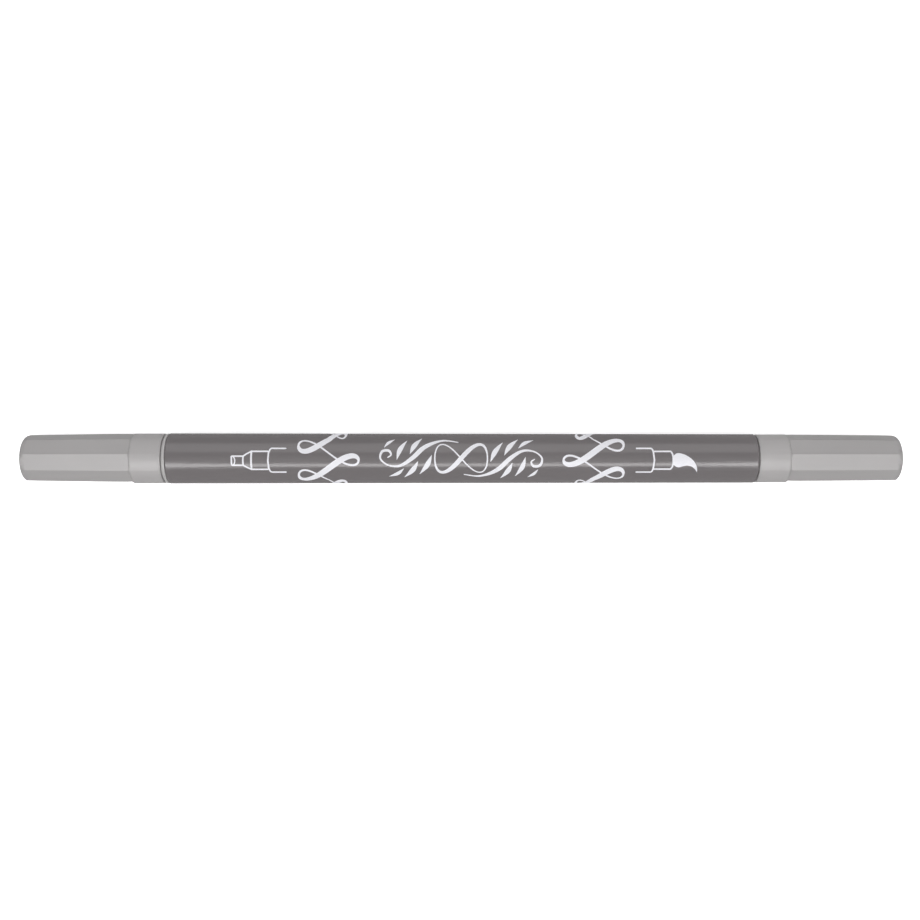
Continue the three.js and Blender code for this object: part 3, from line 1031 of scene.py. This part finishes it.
def make_nib_pictures():
    """Line drawings of each end: a flat nib in its section, and a brush tip in its section.

    mid is where the drawings are centred, as s, and low is the middle of the flat nib.
    """
    mid = -0.4
    low = mid - 0.05
    flat = [
        straight([[-41.4, low + 0.87], [-43.6, low + 0.87], [-43.55, low - 0.87], [-41.4, low - 0.87]]),
        arc(-43.2, low, 0.78, 0.27, 0.24),
        arc(-41.35, low, 0.87, -0.05),
        straight([[-41.35, low + 0.87], [-40.7, mid + 1.28, 0.5], [-39.8, mid + 1.75]]),
        straight([[-41.35, low - 0.87], [-40.7, mid - 1.3, 0.5], [-39.8, mid - 1.75]]),
        arc(-39.8, mid, 1.75, -0.05, 0.36),
        straight([[-39.8, mid + 1.75], [-36.75, mid + 1.75]]),
        straight([[-39.8, mid - 1.75], [-36.75, mid - 1.75]]),
        straight([
            [-33.35, mid + 2.35], [-36.2, mid + 2.35, 0.45], [-36.55, mid + 1.5, 0.6],
            [-36.66, mid, 0.3],
            [-36.55, mid - 1.5, 0.6], [-36.2, mid - 2.35, 0.45], [-33.35, mid - 2.35],
        ]),
    ]
    printed("print_flat_nib", [[path, LAYER * (i % 3)] for i, path in enumerate(flat)])
    brush = [
        straight([
            [33.35, mid + 2.35], [36.25, mid + 2.35, 0.4], [36.5, mid + 1.6, 0.6], [36.68, mid, 2],
            [36.5, mid - 1.6, 0.6], [36.25, mid - 2.35, 0.4], [33.35, mid - 2.35],
        ]),
        straight([
            [36.6, mid + 1.74], [39.8, mid + 1.74, 0.1], [40.1, mid + 1.3, 0.3],
            [40.25, mid + 0.6, 0.3], [40.25, mid - 0.6, 0.3],
            [40.1, mid - 1.3, 0.3], [39.8, mid - 1.7, 0.1], [36.6, mid - 1.7],
        ]),
        [[40.24, mid, 0.05]] + curve([
            [40.27, mid, 1.6], [40.8, mid + 0.02, 2.5], [41.4, mid + 0.04, 2.72],
            [42.3, mid - 0.02, 2.25], [43.2, mid - 0.25, 1.6], [44.05, mid - 0.8, 0.98],
            [44.6, mid - 1.55, 0.5], [44.88, mid - 2.3, 0.08],
        ]),
    ]
    printed("print_brush_tip", [[path, LAYER * i] for i, path in enumerate(brush)])


make_barrel()
make_core()
make_section_calligraphy()
make_section_brush()
make_calligraphy_nib()
make_brush_nib()
for pen_end in (CALLIGRAPHY, BRUSH):
    make_cap(pen_end)
    make_liner(pen_end)
make_loops("print_loops_calligraphy", -25.2, 30.6, varying=1, front=-0.5)
make_loops("print_loops_brush", 25.18, -3.7, varying=-1, front=0)
make_flourish()
make_nib_pictures()


# ---------------------------------------------------------------- stage, light and camera

WORLD_STRENGTH = 0.34
SENSOR_WIDTH = 36
LENS = 45.78
CAMERA_OFFSET = (-0.215, -0.31)  # x and y from the middle of the pen, which the camera looks down on
CAMERA_RISE = 226.7  # above the pen's axis


def make_stage(name, points, faces, glow):
    """A pale matt surface that reflections don't show. glow is the strength of its own light."""
    graph = Graph(name)
    tone = graph.spread(graph.noise(0.02, detail=4), 0.3, 0.7, 0, 1)
    base = graph.mix(tone, (0.88, 0.88, 0.88), (0.92, 0.92, 0.92))
    graph.feed(graph.shader.inputs["Base Color"], base)
    graph.shader.inputs["Roughness"].default_value = 0.9
    graph.shader.inputs["Specular IOR Level"].default_value = 0.0
    graph.shader.inputs["Emission Color"].default_value = (1, 1, 1, 1)
    graph.shader.inputs["Emission Strength"].default_value = glow
    mesh = bpy.data.meshes.new(name)
    mesh.from_pydata(points, [], faces)
    mesh.materials.append(graph.material)
    surface = bpy.data.objects.new(name, mesh)
    bpy.context.scene.collection.objects.link(surface)
    surface.visible_glossy = False
    return surface


def make_table_and_backdrop():
    """The table, and a round backdrop near its edge that lights nothing. Both are in metres."""
    half = 3.0
    corners = [(-half, -half, 0), (half, -half, 0), (half, half, 0), (-half, half, 0)]
    make_stage("table", corners, [[0, 1, 2, 3]], glow=0.55)
    away, bottom, top, count = 2.9, -0.01, 4.0, 48
    turns = [2 * math.pi * i / count for i in range(count)]
    low = [(away * math.cos(turn), away * math.sin(turn), bottom) for turn in turns]
    high = [(x, y, top) for x, y, z in low]
    backdrop = make_stage("backdrop", *joined([low, high]), glow=0.75)
    backdrop.visible_diffuse = False
    backdrop.visible_shadow = False


def make_light(name, middle, way, size, radiance, glossy=True, diffuse=True):
    """A rectangular light that faces the pen. Its length runs along way.

    middle and size are in millimetres, and radiance is how bright its surface is.
    """
    light = bpy.data.lights.new(name, "AREA")
    light.shape = "RECTANGLE"
    light.size, light.size_y = size[0] * MM, size[1] * MM
    light.energy = radiance * math.pi * light.size * light.size_y
    lamp = bpy.data.objects.new(name, light)
    bpy.context.scene.collection.objects.link(lamp)
    back = Vector(middle).normalized()
    along = (Vector(way) - back * back.dot(Vector(way))).normalized()
    turn = Matrix((along, back.cross(along), back)).transposed().to_4x4()
    lamp.matrix_world = Matrix.Translation(Vector(middle) * MM) @ turn
    lamp.visible_glossy = glossy
    lamp.visible_diffuse = diffuse


make_table_and_backdrop()

world = bpy.data.worlds.new("studio")
world.use_nodes = True
world.node_tree.nodes["Background"].inputs["Color"].default_value = (1, 1, 1, 1)
world.node_tree.nodes["Background"].inputs["Strength"].default_value = WORLD_STRENGTH
bpy.context.scene.world = world

make_light(
    "overhead", (0, -200, 1300), (1, 0, 0), size=(1000, 700), radiance=5.3, glossy=False,
)
make_light(
    "soft_band", (0, 509, 427), (1, 0, 0), size=(700, 530), radiance=1.1, diffuse=False,
)
# The long narrow strip that draws the highlight along the barrel.
make_light(
    "strip", (0, -233, 400), (310, 35, 0), size=(700, 110), radiance=6.0, diffuse=False,
)
# A panel over each cap, which lights its upper flat without showing in the barrel.
for side in (-1, 1):
    make_light(
        "cap_panel", (side * 240, -240, 400), (1, 0, 0), size=(140, 240), radiance=3.4, diffuse=False,
    )

camera_data = bpy.data.cameras.new("camera")
camera_data.sensor_width = SENSOR_WIDTH
camera_data.lens = LENS
camera = bpy.data.objects.new("camera", camera_data)
bpy.context.scene.collection.objects.link(camera)
camera.location = Vector((*CAMERA_OFFSET, AXIS_HEIGHT + CAMERA_RISE)) * MM
bpy.context.scene.camera = camera

bpy.context.scene.view_settings.view_transform = "Standard"
